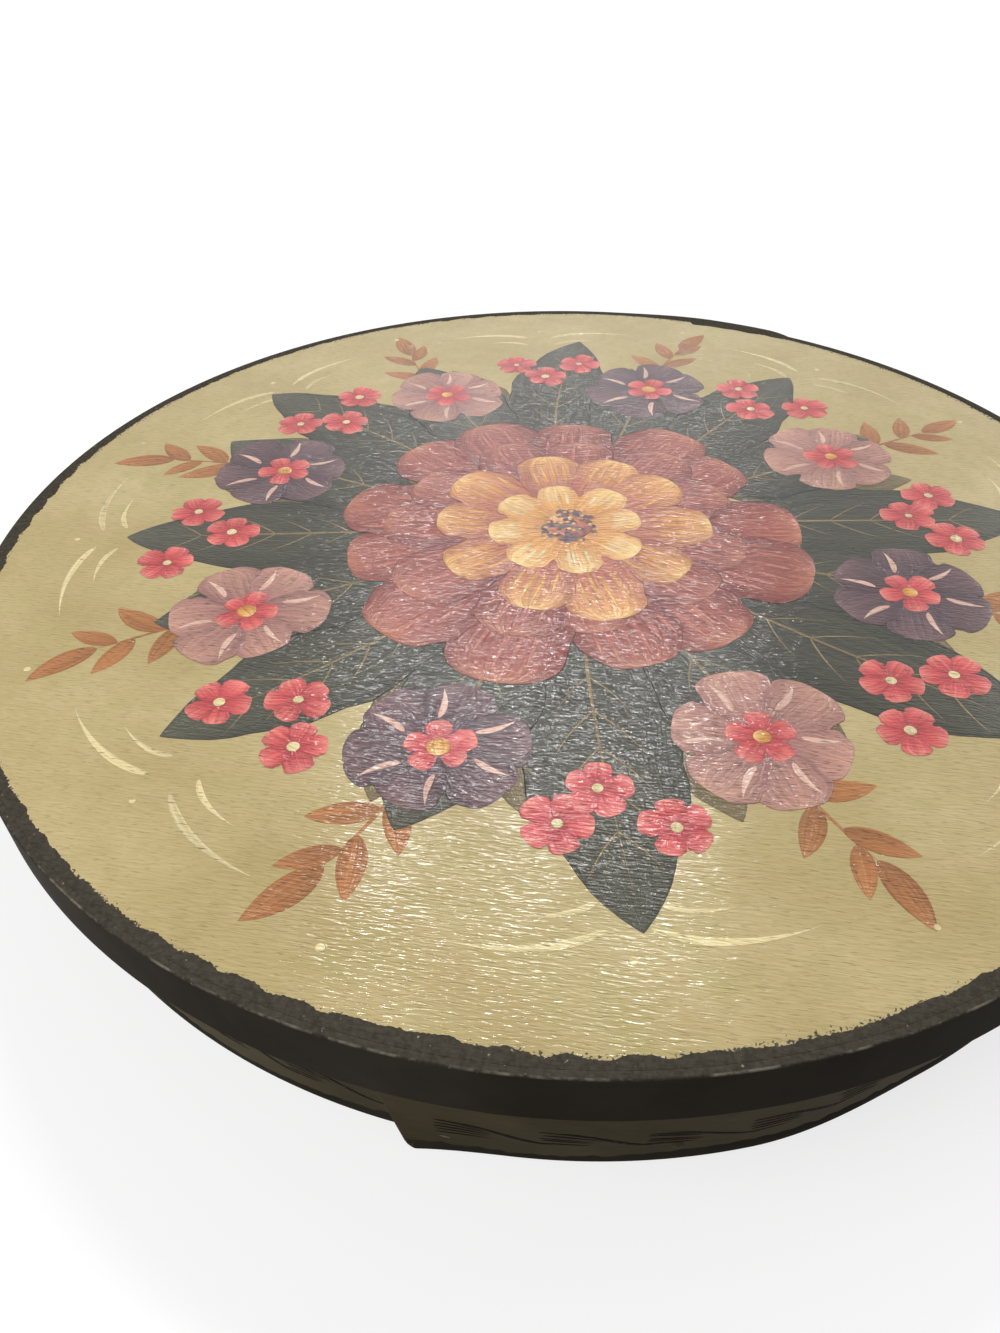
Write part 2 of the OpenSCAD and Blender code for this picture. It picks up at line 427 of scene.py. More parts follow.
def khaki_ground():
    """Khaki paint on birch board under satin varnish.

    It gives a warm straw-olive field, cloudy where it was brushed thin, with the board's grain standing in
    fine level ridges that catch the light, their tops tinted a little paler as a painted highlight, and black
    specks beside the border. The edge is black, and the underside is bare board.
    """
    material, tree = new_material("khaki_paint_on_birch")
    height, pores, ridges = wood_relief(tree)
    place = add(tree, "TexCoord", output="Object")
    level = add(tree, "SeparateXYZ", (place,), "Z")
    flat = add(tree, "VectorMath", (place, (1, 1, 0)), operation="MULTIPLY")
    radius = add(tree, "VectorMath", (flat,), "Value", operation="LENGTH")
    drift = add(tree, "TexNoise", {"Vector": place, "Scale": 1 / (45 * MM), "Detail": 4.0, "Roughness": 0.6})
    straw = ((0.3, "#a18e5d"), (0.5, "#ae9c6d"), (0.7, "#b8a779"))
    colour = add(tree, "ValToRGB", (drift,), stops=straw)
    # Painted highlight: the grain's ridges are tinted paler, as the light they catch.
    pale = add(tree, "MapRange", (ridges, 0.4, 0.75, 0.0, 0.15))
    patches = add(tree, "TexNoise", {"Vector": place, "Scale": 1 / (11 * MM), "Detail": 3.0})
    olive = add(tree, "MapRange", (patches, 0.42, 0.66, 0.0, 0.5))
    dark = add(tree, "Math", (pores, 0.36), operation="MULTIPLY")
    grit = add(tree, "TexNoise", {"Vector": place, "Scale": 1 / (0.8 * MM), "Detail": 2.0})
    near = add(tree, "MapRange", (radius, PANEL_R - 4.5 * MM, PANEL_R - 2 * MM))
    close = add(tree, "Math", (near, 0.3, grit), operation="MULTIPLY_ADD")
    specks = add(tree, "MapRange", (close, 0.83, 0.88))
    edge = add(tree, "MapRange", (radius, PANEL_R - 1.3 * MM, PANEL_R - 1.1 * MM))
    under = add(tree, "MapRange", (level, LID_TOP - 1.0 * MM, LID_TOP - 1.2 * MM))
    _, bare = birch_grain(tree, "Object", BOARD_GRAIN)
    for amount, coat in ((pale, "#cdbc92"), (olive, "#a3955f"), (dark, "#7a6842"), (specks, "#3d3932"),
                         (edge, "#2b2824"), (under, bare)):
        colour = add(tree, "Mix", {0: amount, 6: colour, 7: coat}, 2, data_type="RGBA")
    bump = add(tree, "Bump", {"Height": height, "Distance": 0.16 * MM})
    close_material(tree, {"Base Color": colour, "Roughness": 0.5, "Normal": bump, "Specular IOR Level": 0.15,
                          "Coat Weight": 0.3, "Coat Roughness": 0.08, "Coat Normal": bump})
    return material


def black_brushed():
    """Black paint brushed over wood under satin varnish.

    It gives a grey-black skin, rough where the brush dragged it over the top's grain and with pale specks
    painted on the top as glints of light, smooth and deeper on the side, and a broken pale thread along the
    corner, partly worn paint and partly a painted highlight.
    """
    material, tree = new_material("black_paint_on_wood")
    height, *_ = wood_relief(tree)
    place = add(tree, "TexCoord", output="Object")
    level = add(tree, "SeparateXYZ", (place,), "Z")
    lumps = add(tree, "TexNoise", {"Vector": place, "Scale": 1 / (1.1 * MM), "Detail": 3.0})
    colour = add(tree, "ValToRGB", (lumps,), stops=((0.3, "#3a3630"), (0.5, "#423e36"), (0.7, "#4b463d")))
    # Painted glints: sparse pale specks on the top stand in for light glinting off the black paint.
    glint_pattern = add(tree, "TexNoise", {"Vector": place, "Scale": 1 / (1.5 * MM), "Detail": 1.0})
    painted_glints = add(tree, "MapRange", (glint_pattern, 0.73, 0.78, 0.0, 0.6))
    side = add(tree, "MapRange", (level, LID_TOP - 0.2 * MM, LID_TOP - 0.9 * MM))
    drift = add(tree, "TexNoise", {"Vector": place, "Scale": 1 / (45 * MM), "Detail": 4.0, "Roughness": 0.6})
    cloud = add(tree, "ValToRGB", (drift,), stops=((0.3, "#37322c"), (0.7, "#48433b")))
    # Pale thread along the outer corner: partly worn paint, partly a painted highlight on the rounded corner.
    corner = add(tree, "Attribute", output="Fac", attribute_name="shade")
    patches = add(tree, "TexNoise", {"Vector": place, "Scale": 1 / (7 * MM), "Detail": 5.0, "Roughness": 0.7})
    rubbed = add(tree, "MapRange", (patches, 0.46, 0.62, 0.0, 0.75))
    worn = add(tree, "Math", (corner, rubbed), operation="MULTIPLY")
    for amount, coat in ((painted_glints, "#a39b88"), (side, cloud), (worn, "#958d7c")):
        colour = add(tree, "Mix", {0: amount, 6: colour, 7: coat}, 2, data_type="RGBA")
    relief = add(tree, "Math", (lumps, 0.5, height), operation="MULTIPLY_ADD")
    depth = add(tree, "MapRange", (side, 0.0, 1.0, 1.0, 0.06))
    bump = add(tree, "Bump", {"Height": relief, "Distance": 0.16 * MM, "Strength": depth})
    close_material(tree, {"Base Color": colour, "Roughness": 0.42, "Normal": bump,
                          "Specular IOR Level": 0.001})
    return material


def khaki_wall():
    """Khaki paint on a bent strip under satin varnish.

    It gives the lid's field again, thinner and browner, with level grain 9 mm long, and paler along the worn
    edges.
    """
    material, tree = new_material("khaki_paint_on_bent_strip")
    place = add(tree, "TexCoord", output="UV")
    long = add(tree, "Mapping", {"Vector": place, "Scale": per_mm(9, 0.6, 1)})
    grain = add(tree, "TexNoise", {"Vector": long, "Scale": 1 / MM, "Detail": 3.0})
    cloud = add(tree, "TexNoise", {"Vector": place, "Scale": 1 / (25 * MM), "Detail": 3.0})
    colour = add(tree, "ValToRGB", (cloud,), stops=((0.3, "#4a422e"), (0.7, "#60563e")))
    dark = add(tree, "MapRange", (grain, 0.5, 0.75, 0.0, 0.35))
    corner = add(tree, "Attribute", output="Fac", attribute_name="shade")
    worn = add(tree, "Math", (corner, cloud), operation="MULTIPLY")
    for amount, coat in ((dark, "#352d1f"), (worn, "#8f7f5c")):
        colour = add(tree, "Mix", {0: amount, 6: colour, 7: coat}, 2, data_type="RGBA")
    bump = add(tree, "Bump", {"Height": grain, "Strength": 0.5, "Distance": 0.08 * MM})
    close_material(tree, {"Base Color": colour, "Roughness": 0.5, "Normal": bump, "Specular IOR Level": 0.02})
    return material


def bare_birch(name, coords, scale):
    """Bare sanded birch, whose grain runs along the board or strip and stands a little."""
    material, tree = new_material(name)
    grain, colour = birch_grain(tree, coords, scale)
    bump = add(tree, "Bump", {"Height": grain, "Strength": 0.4, "Distance": 0.1 * MM})
    close_material(tree, {"Base Color": colour, "Roughness": 0.62, "Normal": bump})
    return material


def brushed_colour(name, stops, edge_colour, edge_amount, streak=0.35, varnish=0.4):
    """Acrylic brushed on in one loaded stroke under satin varnish.

    The colour blends along the stroke, dries in streaks along it and gathers at its edges. The board's grain
    still stands through it, darker in the pores. Streaks are 14 mm long and 0.9 mm wide, about three times as
    wide as bristles leave them, so that they show in the render.
    """
    material, tree = new_material(name)
    height, pores, _ = wood_relief(tree)
    uv = add(tree, "TexCoord", output="UV")
    split = add(tree, "SeparateXYZ", (uv,)).node.outputs
    brush = add(tree, "Attribute", output="Vector", attribute_name="brush")
    swept = add(tree, "VectorMath", (uv, brush), operation="MULTIPLY")
    long = add(tree, "Mapping", {"Vector": swept, "Scale": (1 / (14 * MM), 1 / (0.9 * MM), 1)})
    shade = add(tree, "Attribute", output="Fac", attribute_name="shade")
    shift = add(tree, "CombineXYZ", {"Z": shade})
    apart = add(tree, "VectorMath", (shift, (40, 40, 40), long), operation="MULTIPLY_ADD")
    hairs = add(tree, "TexNoise", {"Vector": apart, "Scale": 1.0, "Detail": 3.0})
    wobble = add(tree, "Math", (hairs, streak, split["X"]), operation="MULTIPLY_ADD")
    along = add(tree, "Math", (wobble, streak / 2), operation="SUBTRACT")
    colour = add(tree, "ValToRGB", (along,), stops=stops)
    centred = add(tree, "Math", (split["Y"], 0.5), operation="SUBTRACT")
    out = add(tree, "Math", (centred,), operation="ABSOLUTE")
    edge = add(tree, "MapRange", (out, 0.25, 0.5, 0.0, edge_amount))
    colour = add(tree, "Mix", {0: edge, 6: colour, 7: edge_colour}, 2, data_type="RGBA")
    bright = add(tree, "Math", (shade, 0.25, hairs), operation="MULTIPLY_ADD")
    tone = add(tree, "MapRange", (bright, 0.35, 0.95, 0.75, 1.22))
    colour = add(tree, "VectorMath", {"Vector": colour, "Scale": tone}, operation="SCALE")
    dark = add(tree, "Math", (pores, 0.64), operation="MULTIPLY")
    colour = add(tree, "Mix", {0: dark, 6: colour, 7: "#3a2e22"}, 2, data_type="RGBA")
    relief = add(tree, "Math", (hairs, 0.5, height), operation="MULTIPLY_ADD")
    bump = add(tree, "Bump", {"Height": relief, "Distance": 0.26 * MM})
    close_material(tree, {"Base Color": colour, "Roughness": 0.5, "Normal": bump,
                          "Specular IOR Level": 0.2 * varnish, "Coat Weight": varnish, "Coat Roughness": 0.08,
                          "Coat Normal": bump})
    return material


def fastener_steel(name, hex_code, metallic, roughness):
    """Small steel fasteners, dulled by grit: cut-wire steel, or the same painted over with the box."""
    material, tree = new_material(name)
    place = add(tree, "TexCoord", output="Object")
    grit = add(tree, "TexNoise", {"Vector": place, "Scale": 1 / (0.8 * MM), "Detail": 2.0})
    colour = add(tree, "Mix", {0: grit, 6: hex_code, 7: "#3a352b"}, 2, data_type="RGBA")
    close_material(tree, {"Base Color": colour, "Roughness": roughness, "Metallic": metallic,
                          "Specular IOR Level": 0.02})
    return material


KHAKI = khaki_ground()
BLACK = black_brushed()
WALL = khaki_wall()
BARE_BOARD = bare_birch("bare_birch_board", "Object", BOARD_GRAIN)
BARE_STRIP = bare_birch("bare_birch_strip", "UV", STRIP_GRAIN)
TACKS = fastener_steel("painted_tack_steel", "#665c44", metallic=0.0, roughness=0.5)
PINS = fastener_steel("cut_wire_steel", "#8d8a84", metallic=1.0, roughness=0.4)

# Stroke paints: colours from the start of the stroke to its end, then the colour and amount at its edges
LINER = brushed_colour("black_liner_paint", ((0.0, "#0e0c09"), (1.0, "#16130e")),
                       "#0b0a08", 0.3, streak=0.1, varnish=0.04)
LEAF = brushed_colour("slate_green_leaf_paint", ((0.0, "#2f2f27"), (0.5, "#3f3f34"), (1.0, "#504f41")),
                      "#292922", 0.5)
OLIVE = brushed_colour("olive_brown_leaf_paint", ((0.0, "#4b4230"), (0.5, "#63573c"), (1.0, "#7c6b49")),
                       "#51462f", 0.4)
RUST = brushed_colour("rust_leaf_paint", ((0.0, "#8a5a31"), (0.6, "#a56d40"), (1.0, "#b37d4e")),
                      "#935f36", 0.3)
WINE = brushed_colour("wine_petal_paint",
                      ((0.0, "#421918"), (0.4, "#743330"), (0.75, "#945045"), (1.0, "#b3745b")),
                      "#632625", 0.6)
RUSSET = brushed_colour("russet_petal_paint",
                        ((0.0, "#6d302b"), (0.45, "#a55c42"), (0.8, "#cf9457"), (1.0, "#e4bd78")),
                        "#8a4436", 0.55)
GOLD = brushed_colour("golden_petal_paint", ((0.0, "#9c5a2c"), (0.5, "#d09548"), (1.0, "#e9c986")),
                      "#b5713a", 0.5)
MAUVE = brushed_colour("mauve_petal_paint", ((0.0, "#76514f"), (0.4, "#9f7269"), (1.0, "#c1927f")),
                       "#875f5e", 0.45)
PLUM = brushed_colour("plum_petal_paint", ((0.0, "#3a2b33"), (0.5, "#584349"), (1.0, "#75595a")),
                      "#3f3038", 0.5)
CORAL = brushed_colour("coral_petal_paint", ((0.0, "#8d2a33"), (0.5, "#c44f50"), (1.0, "#e08579")),
                       "#9c353c", 0.4)
BLUSH = brushed_colour("blush_stroke_paint", ((0.0, "#c79a8b"), (1.0, "#dcbfaa")), "#c29383", 0.4, streak=0.1)
CREAM = brushed_colour("cream_liner_paint", ((0.0, "#cebd8a"), (1.0, "#dacb9d")), "#c8b683", 0.3, streak=0.1)
ROSE = brushed_colour("rose_stroke_paint", ((0.0, "#80372f"), (0.5, "#a65d4f"), (1.0, "#c68a70")),
                      "#8f4a42", 0.4)
VEIN = brushed_colour("tan_vein_paint", ((0.0, "#8a7450"), (1.0, "#776445")), "#7d6945", 0.3, streak=0.1)
SCUFF = brushed_colour("rubbed_khaki_paint", ((0.0, "#857a5d"), (1.0, "#9a8e6f")),
                       "#7a6f52", 0.4, streak=0.2, varnish=0.1)


# The two hoops, and what the frame already has

wall = hoop("wall_hoop", "body", "painted_wall", WALL, BARE_STRIP,
            outer_r=WALL_R, foot=0.0, height=WALL_TOP, lap=WALL_LAP)
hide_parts("wall_band")
rim = hoop("rim_hoop", "lid", "black_rim", BLACK, BARE_STRIP,
           outer_r=RIM_R, foot=RIM_FOOT, height=LID_TOP - RIM_FOOT, lap=RIM_LAP)
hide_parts("rim_band")
for node, material in (("lid_panel", KHAKI), ("base_panel", BARE_BOARD), ("wall_lap_tacks", TACKS),
                       ("rim_lap_tacks", BLACK), ("base_pins", PINS), ("lid_pins", PINS)):
    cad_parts[node].data.materials.clear()
    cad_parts[node].data.materials.append(material)


# The black border round the lid

def ring_film(name, body, points, across, heights):
    """A closed film of black paint from a grid of points: rows round the box, columns round its section."""
    rows, cols = points.shape[:2]
    quads, row, col = ring_faces(rows, cols)
    uv = np.stack([row / rows, np.append(across, across[0])[col]], 2)
    add_piece(name, body, "black_rim", (BLACK,), points.reshape(-1, 3), [quads], [uv], np.zeros(rows * cols),
              flat=np.tile(underside(heights), rows))


def lid_border():
    """Black band round the lid's top: a thin film whose inner edge wanders and frays as a brush leaves it.

    It reaches over the joint between panel and rim. Its width is a mean, less towards the far right, plus
    slow, middling and fine sums of sines, the fine ones stronger on the left; at one place the brush was set
    down, and the band starts broad and narrows.
    """
    narrowest, most_ragged = math.radians(55), math.radians(-165)
    brush_down, brush_run, brush_width, brush_blunt = math.radians(73.5), math.radians(14), 3.7 * MM, 18
    mean_width, uneven, least_width = 1.65 * MM, 0.75 * MM, 2 * MM
    steps, thick = 7200, 0.05
    turn = np.linspace(0, TURN, steps, endpoint=False)
    width = mean_width - uneven * np.cos(turn - narrowest)
    width += wander(turn, (3, 10), 4, 0.3 * MM) + wander(turn, (20, 110), 14, 0.3 * MM)
    ragged = 0.6 + 0.4 * np.clip(np.cos(turn - most_ragged), 0, 1) + wander(turn, (5, 25), 5, 0.12)
    width += ragged * (wander(turn, (250, 1200), 60, 0.11 * MM) + wander(turn, (90, 260), 12, 0.12 * MM))
    past = (brush_down - turn) / brush_run
    width += brush_width * np.clip(past * brush_blunt, 0, 1) * np.clip(1 - past, 0, 1)
    across = np.array([0, 0.03, 0.25, 0.6, 0.97, 1, 1, 0])
    heights = np.array([0.1, 0.6, 0.9, 1, 0.9, 0.4, -0.4, -0.4]) * thick * MM
    outer_edge = PANEL_R + 0.9 * MM
    reach = np.maximum(width + outer_edge - PANEL_R, least_width)
    radius = outer_edge - reach[:, None] * (1 - across)
    ring_film("lid_border", "lid", upright(radius, turn[:, None], LID_TOP + heights), across, heights)


lid_border()


# The running border and the foot line on the wall

def on_wall(s, z, height):
    """Wraps a strip's plane round the wall: arc length past the lap's cut end, height, and lift off it."""
    lap_at, *shape = WALL_LAP
    past = np.mod(s + LAP_LEAN * (z - WALL_TOP / 2), WALL_ROUND)
    back = corner_cut(z)
    past = np.where(past < CORNER_RUN, (past - back) / (1 - back / CORNER_RUN), past)
    return upright(WALL_R + lap_swell(past, z, *shape) + height, lap_at + s / WALL_R, z)


def paint_on_wall(name, material, strokes):
    """Lays strokes, their spines and half-widths, on the outside of the wall."""
    plane, height, rest = stroke_films(*strokes, WALL_FILM, WALL_FILM)
    add_piece(name, "body", "painted_wall", (material,), on_wall(*plane.T, height), **rest)


def wall_border():
    """Running border: in each repeat a sheaf of fine level strokes, its top one flowing on in a thick-thin S.

    The strokes of a sheaf fall as a square along their length, the upper ones further. The S falls as
    3u^2 - 2u^3.
    """
    middle = 12.0 * MM
    first, last = 14 * MM, WALL_ROUND - 26 * MM
    repeats, in_sheaf = 50, 5
    # In mm: the top stroke over the middle, each next one lower; the top one's fall, each next one less
    top, apart, steepest, flatter = 2.8, 1.35, 2.4, 0.55
    start = np.linspace(first, last, repeats) + rng.normal(0, 0.7 * MM, repeats)
    place = np.tile(np.arange(in_sheaf), repeats)
    count = len(place)
    s = np.repeat(start, in_sheaf) + rng.normal(0, 0.5 * MM, count)
    z = middle + (top - place * apart) * MM + rng.normal(0, 0.12 * MM, count)
    length = 12.2 * MM * rng.uniform(0.8, 1.15, count)
    drop = (steepest - place * flatter) * MM
    u = eased(13)
    path = np.stack([s[:, None] + length[:, None] * u, z[:, None] - drop[:, None] * u * u], 2)
    half_width = 0.27 * MM * rng.uniform(0.75, 1.2, count)
    paint_on_wall("wall_sheaves", LINER, (path, half_width[:, None] * swelling(u, SHEAF)))

    u = eased(21)
    fall = np.broadcast_to(u * u * (3 - 2 * u), (repeats, len(u)))
    run = 22.0 * MM * rng.uniform(0.94, 1.06, repeats)
    past_sheaf, rise, depth = 4.0 * MM, 2.9 * MM, 5.9 * MM
    path = np.stack([start[:, None] + past_sheaf + run[:, None] * u, middle + rise - depth * fall], 2)
    half_width = 0.5 * MM * rng.uniform(0.8, 1.2, repeats)
    paint_on_wall("wall_sweeps", LINER, (path, half_width[:, None] * swelling(u, SWEEP)))


def wall_scuffs():
    """Small pale scuffs where the paint is rubbed, along the foot and where the lid's edge slides down.

    Each is a short stroke with a ragged edge. Most are scattered, and some lie beside the lap's cut end.
    """
    scattered, near_foot, under_rim = 32, 3.5, 25.0
    beside_lap = np.array([(11, 25.8), (14, 25.2), (14, 7.4), (19, 24.6)]) * MM
    s = rng.uniform(8 * MM, WALL_ROUND - 20 * MM, scattered)
    z = (rng.choice([near_foot, under_rim], scattered) + rng.uniform(-1.2, 1.2, scattered)) * MM
    place = np.concatenate([np.stack([s, z], 1), beside_lap])
    turn = rng.uniform(-0.4, 0.4, len(place))
    length = 2.2 * MM * rng.uniform(0.5, 1.4, len(place))
    paint_on_wall("wall_scuffs", SCUFF, petals(place, turn, length, 0.3 * MM, RUB, steps=9, ruffle=0.4))


def foot_line():
    """Uneven black line along the foot of the wall: a film round the wall whose top edge rises and falls."""
    low_edge, mean_top, least_top = 0.45 * MM, 4.0 * MM, 0.8 * MM
    steps, thick = 2400, 0.08
    turn = np.linspace(0, TURN, steps, endpoint=False)
    top = mean_top + wander(turn, (4, 18), 6, 0.6 * MM) + wander(turn, (40, 300), 20, 0.25 * MM)
    across = np.array([0, 0.05, 0.5, 0.9, 1, 1, 0])
    heights = np.array([0.4, 1, 1, 0.7, 0.1, -0.6, -0.6]) * thick * MM
    z = low_edge + (np.maximum(top, least_top) - low_edge)[:, None] * across
    ring_film("foot_line", "body", on_wall((turn * WALL_R)[:, None], z, heights), across, heights)


wall_border()
wall_scuffs()
foot_line()


# A painted rosette on the lid

def jitter(count, size):
    """Small hand-made differences, one for each of count strokes."""
    return rng.normal(0, size, count)


def blossoms(name, material, centres, count, reach, width, start_r, layer, facing):
    """Rings of petals: count petals round each centre, each lying over its neighbour's edge.

    They start at start_r from the centre, at even turns from facing, and are reach long; width is a share of
    that. Returns the petals' places, directions and lengths, for the strokes that are laid on them.
    """
    total = len(centres) * count
    turn = (np.broadcast_to(facing, len(centres))[:, None] + np.arange(count) * TURN / count).ravel()
    turn = turn + jitter(total, 0.05)
    place = np.repeat(centres, count, 0) + polar(start_r, turn)
    length = reach * (1 + jitter(total, 0.05))
    bend = jitter(total, 0.05)
    strokes = petals(place, turn, length, length * width, ROUND_PETAL, bend, ruffle=0.05)
    paint_on_lid(name, material, strokes, layer, tilt=0.5)
    return place, turn, length


def petal_lights(name, material, rows, offsets, start, reach, half_width, layer):
    """Fine strokes along each petal: side by side from a share of its length, fanning out and shortening."""
    place, turn, length = (np.repeat(a, len(offsets), 0) for a in rows)
    aside = np.tile(offsets, len(rows[0])) + jitter(len(place), 0.06)
    root = place + polar((start + jitter(len(place), 0.03)) * length, turn)
    root = root + polar(0.2 * aside * length, turn + TURN / 4)
    long = reach * length * (1 - 0.5 * aside ** 2) * (1 + jitter(len(place), 0.1))
    paint_on_lid(name, material, petals(root, turn + 0.12 * aside, long, half_width, TOUCH, steps=13), layer)


def dots(name, material, centres, radius, layer):
    """Round dabs of paint, each a stroke as long as it is wide."""
    turn = rng.uniform(0, TURN, len(centres))
    size = radius * (1 + jitter(len(centres), 0.12))
    strokes = petals(centres - polar(size, turn), turn, 2 * size, size, DAB, steps=9)
    paint_on_lid(name, material, strokes, layer, thick=DAB_FILM)


def leaves(name, material, place, turn, length, width, layer):
    """Broad pointed leaves with a fine rib and pairs of side veins that run from it towards the edge."""
    count = len(place)
    turn, length = turn + jitter(count, 0.04), length * (1 + jitter(count, 0.04))
    bend = jitter(count, 0.09)
    blades = petals(place, turn, length, width * length, POINTED_LEAF, bend, steps=25, ruffle=0.05)
    paint_on_lid(name, material, blades, layer, tilt=0.6)
    on_top = layer + 1.5
    ribs = petals(place, turn, 0.96 * length, 0.5 * MM, RIB, bend, steps=25)
    paint_on_lid(name + "_ribs", VEIN, ribs, on_top)
    pairs = np.linspace(0.25, 0.75, 5)
    root = np.tile(spine(place, turn, length, bend, pairs).reshape(-1, 2), (2, 1))
    hand = np.repeat([0.8, -0.8], count * len(pairs))
    way = np.tile((turn[:, None] + 2 * bend[:, None] * pairs).ravel(), 2) + hand
    reach = np.tile((1.05 * width * length[:, None] * swelling(pairs, POINTED_LEAF)).ravel(), 2)
    veins = petals(root, way, reach, 0.28 * MM, SIDE_VEIN, -0.25 * hand, steps=11)
    paint_on_lid(name + "_veins", VEIN, veins, on_top)


def sprigs(name, base, turn, size):
    """Slender sprigs: a fine stem with a leaf at its tip and two pairs below."""
    stem = 0.75 * size
    bend = jitter(len(base), 0.10)
    stems = petals(base, turn, stem, 0.6 * MM, STEM, bend, steps=13)
    paint_on_lid(name + "_stems", RUST, stems, layer=2)
    along = np.array([0.40, 0.52, 0.74, 0.86, 1.0])
    lean = np.array([0.85, -0.80, 0.70, -0.65, 0.0])
    share = np.array([1.0, 0.95, 0.9, 0.85, 1.1])
    place = spine(base, turn, stem, bend, along).reshape(-1, 2)
    count = len(place)
    way = (turn[:, None] + lean + 2 * bend[:, None] * along).ravel() + jitter(count, 0.08)
    long = 0.36 * size * np.tile(share, len(base)) * (1 + jitter(count, 0.06))
    paint_on_lid(name, RUST, petals(place, way, long, 0.19 * long, SPRIG_LEAF, jitter(count, 0.12), steps=17),
                 layer=2.5)


def rosette():
    """Eight-fold rosette: leaves under a large blossom, a ring of small blossoms, sprigs, commas and dabs."""
    fold = 8
    ray = np.arange(fold) * TURN / fold + math.radians(-84)
    gap = ray + TURN / fold / 2
    r = PANEL_R

    sprigs("rust_sprigs", polar(0.60 * r, gap + jitter(fold, 0.03)), gap, 0.29 * r)
    side = np.concatenate([ray - 0.26, ray + 0.26])
    leaves("olive_leaves", OLIVE, polar(0.32 * r, side), side, length=0.37 * r, width=0.19, layer=3)
    leaves("ray_leaves", LEAF, polar(0.26 * r, ray), ray, length=0.55 * r, width=0.20, layer=5)
    leaves("gap_leaves", LEAF, polar(0.30 * r, gap), gap, length=0.42 * r, width=0.24, layer=7)

    ring = polar(0.585 * r, gap)
    facing = rng.uniform(0, TURN, fold)
    for name, material, first in (("mauve_blossoms", MAUVE, 0), ("plum_blossoms", PLUM, 1)):
        every_other = slice(first, None, 2)
        place, turn, length = blossoms(name, material, ring[every_other], 6, reach=0.115 * r, width=0.46,
                                       start_r=0.012 * r, layer=10, facing=facing[every_other])
        place = place + polar(0.35 * length, turn) + polar(0.17 * length, turn + math.pi / 2)
        lights = petals(place, turn - 0.1, 0.5 * length, 0.045 * length, TOUCH, bend=0.35, steps=13)
        paint_on_lid(name + "_lights", BLUSH, lights, layer=12)
    blossoms("ring_hearts", CORAL, ring, 5, reach=0.046 * r, width=0.42, start_r=0.004 * r, layer=13,
             facing=facing)
    dots("ring_eyes", GOLD, ring, radius=0.014 * r, layer=15)

    spray = np.concatenate([polar(0.69 * r, ray - 0.11), polar(0.69 * r, ray + 0.11), polar(0.615 * r, ray)])
    spray = spray + rng.normal(0, 0.006 * r, spray.shape)
    blossoms("coral_flowers", CORAL, spray, 5, reach=0.045 * r, width=0.46, start_r=0.003 * r, layer=10,
             facing=rng.uniform(0, TURN, len(spray)))
    dots("coral_eyes", CREAM, spray, radius=0.008 * r, layer=13)

    centre = np.zeros((1, 2))
    outer = blossoms("heart_wine", WINE, centre, 13, reach=0.30 * r, width=0.30, start_r=0.11 * r,
                     layer=14, facing=0.1)
    petal_lights("heart_wine_lights", ROSE, outer, (-0.75, -0.4, 0.0, 0.35, 0.7), start=0.56, reach=0.34,
                 half_width=0.9 * MM, layer=15.8)
    inner = blossoms("heart_wine_inner", WINE, centre, 11, reach=0.24 * r, width=0.31, start_r=0.08 * r,
                     layer=18, facing=0.35)
    petal_lights("heart_inner_lights", ROSE, inner, (-0.75, -0.25, 0.25, 0.7), start=0.55, reach=0.34,
                 half_width=0.8 * MM, layer=19.8)
    middle = blossoms("heart_russet", RUSSET, centre, 10, reach=0.20 * r, width=0.31, start_r=0.05 * r,
                      layer=22, facing=0.0)
    petal_lights("heart_russet_lights", GOLD, middle, (-0.7, -0.25, 0.2, 0.65), start=0.48, reach=0.42,
                 half_width=0.7 * MM, layer=23.8)
    heart = blossoms("heart_gold", GOLD, centre, 8, reach=0.125 * r, width=0.33, start_r=0.02 * r,
                     layer=26, facing=0.2)
    petal_lights("heart_gold_lights", CREAM, heart, (-0.6, 0.0, 0.6), start=0.50, reach=0.40,
                 half_width=0.5 * MM, layer=27.8)
    dots("heart_ground", RUSSET, centre, radius=0.045 * r, layer=29)
    seeds, pollen = 60, 30
    eye = polar(0.05 * r * np.sqrt(rng.uniform(0, 1, seeds)), rng.uniform(0, TURN, seeds))
    dots("heart_eye", PLUM, eye, radius=0.006 * r, layer=33)
    dust = 1.15 * eye[:pollen] + rng.normal(0, 0.004 * r, (pollen, 2))
    dots("heart_pollen", GOLD, dust, radius=0.004 * r, layer=37)

    curl = np.concatenate([ray, ray])
    hand = np.repeat([-1.0, 1.0], fold)
    commas = petals(polar(0.84 * r, curl + hand * 0.03), curl + hand * 1.1, 0.18 * r, 1.15 * MM, COMMA,
                    bend=hand * 0.5, steps=21)
    paint_on_lid("cream_commas", CREAM, commas, layer=3)
    commas = petals(polar(0.80 * r, curl + hand * 0.04), curl + hand * 0.9, 0.09 * r, 0.9 * MM, COMMA,
                    bend=hand * 0.6, steps=17)
    paint_on_lid("cream_small_commas", CREAM, commas, layer=3)
    dabs = np.concatenate([polar(0.88 * r, ray), polar(0.92 * r, gap)])
    dots("cream_dabs", CREAM, dabs, radius=1.0 * MM, layer=3)


# Its own source, so that the flowers stay as they are when the borders change
rng = np.random.default_rng(5)
rosette()


# Floor, light and camera

def seen_directly(tree):
    """1 for rays from the camera, a reflection or glass, and 0 for the light that a surface gathers."""
    rays = add(tree, "LightPath").node.outputs
    seen = rays["Is Camera Ray"]
    for other in ("Is Glossy Ray", "Is Transmission Ray"):
        seen = add(tree, "Math", (seen, rays[other]), operation="MAXIMUM")
    return seen


